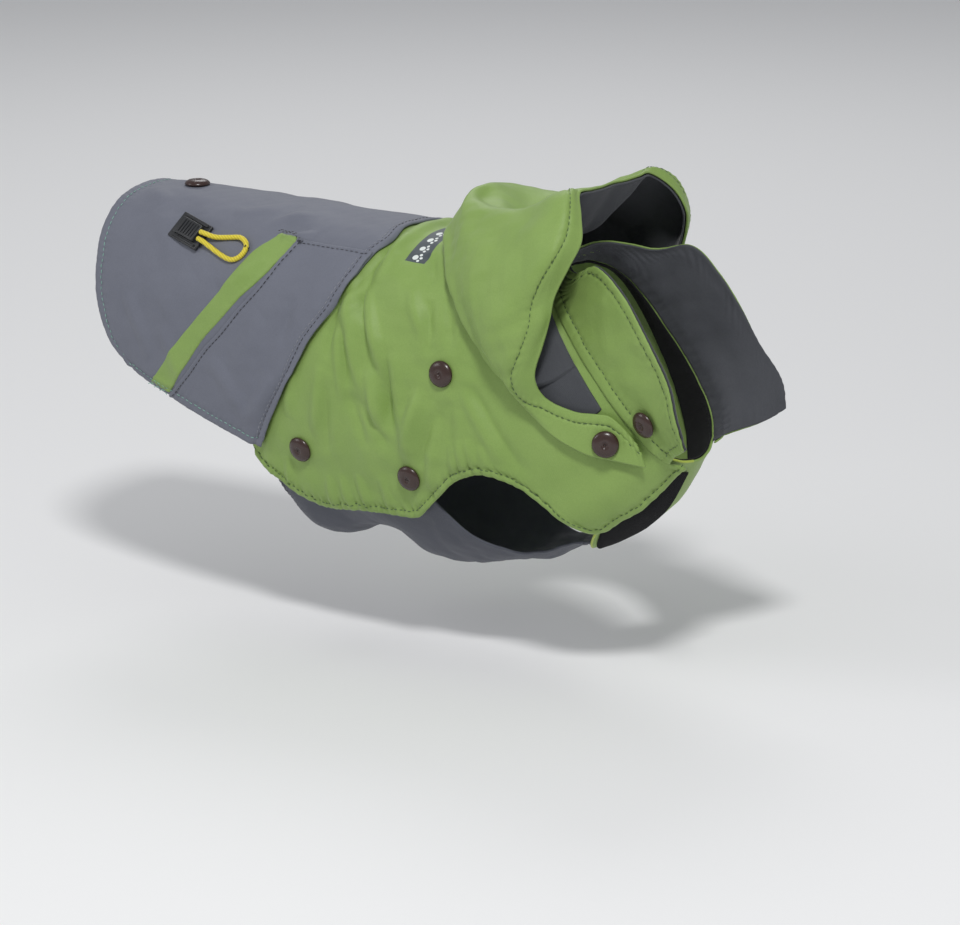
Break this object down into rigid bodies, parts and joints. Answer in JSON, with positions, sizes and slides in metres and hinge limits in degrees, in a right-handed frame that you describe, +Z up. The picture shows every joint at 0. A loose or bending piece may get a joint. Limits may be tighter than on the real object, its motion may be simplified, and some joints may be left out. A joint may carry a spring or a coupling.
{
  "type": "dog coat",
  "caption": "Small dog's coat in its worn shape: grey saddle over a green body, snapped belly panel, standing collar, hood let down, welt pocket and cord lock with an elastic loop.",
  "frame": {"origin": "on the underside of the cloth over the wearer's back, at the coat's own middle, where the back holds it up", "axes": "+X to the wearer's head, +Y to the wearer's left, +Z up"},
  "size_m": [0.4057, 0.1526, 0.2294],
  "materials": {
    "green_cloth": "fine woven nylon",
    "grey_cloth": "matt plain weave",
    "dark_grey_lining": "matt knit",
    "black_lining": "short nap",
    "black_hook_and_loop": "hook and loop",
    "dark_brown_snap": "moulded gloss",
    "black_plastic": "moulded matt",
    "yellow_elastic": "braided elastic"
  },
  "bodies": {
    "root": {"body": "green_cloth", "welt": "green_cloth", "collar": "green_cloth", "hood": "green_cloth", "saddle": "grey_cloth", "pocket": "grey_cloth", "belly_panel": "grey_cloth", "collar_lining": "dark_grey_lining", "hood_lining": "dark_grey_lining", "neck_lining": "black_lining", "closure_loop": "black_hook_and_loop", "closure_hook": "black_hook_and_loop", "snap_back": "dark_brown_snap", "snap_side": "dark_brown_snap", "snap_belly_front_left": "dark_brown_snap", "snap_belly_front_right": "dark_brown_snap", "snap_belly_rear_left": "dark_brown_snap", "snap_belly_rear_right": "dark_brown_snap", "snap_tab_left": "dark_brown_snap", "snap_tab_right": "dark_brown_snap", "snap_collar_left": "dark_brown_snap", "snap_collar_right": "dark_brown_snap", "cord_lock": "black_plastic", "cord_loop": "yellow_elastic"}
  },
  "joints": []
}
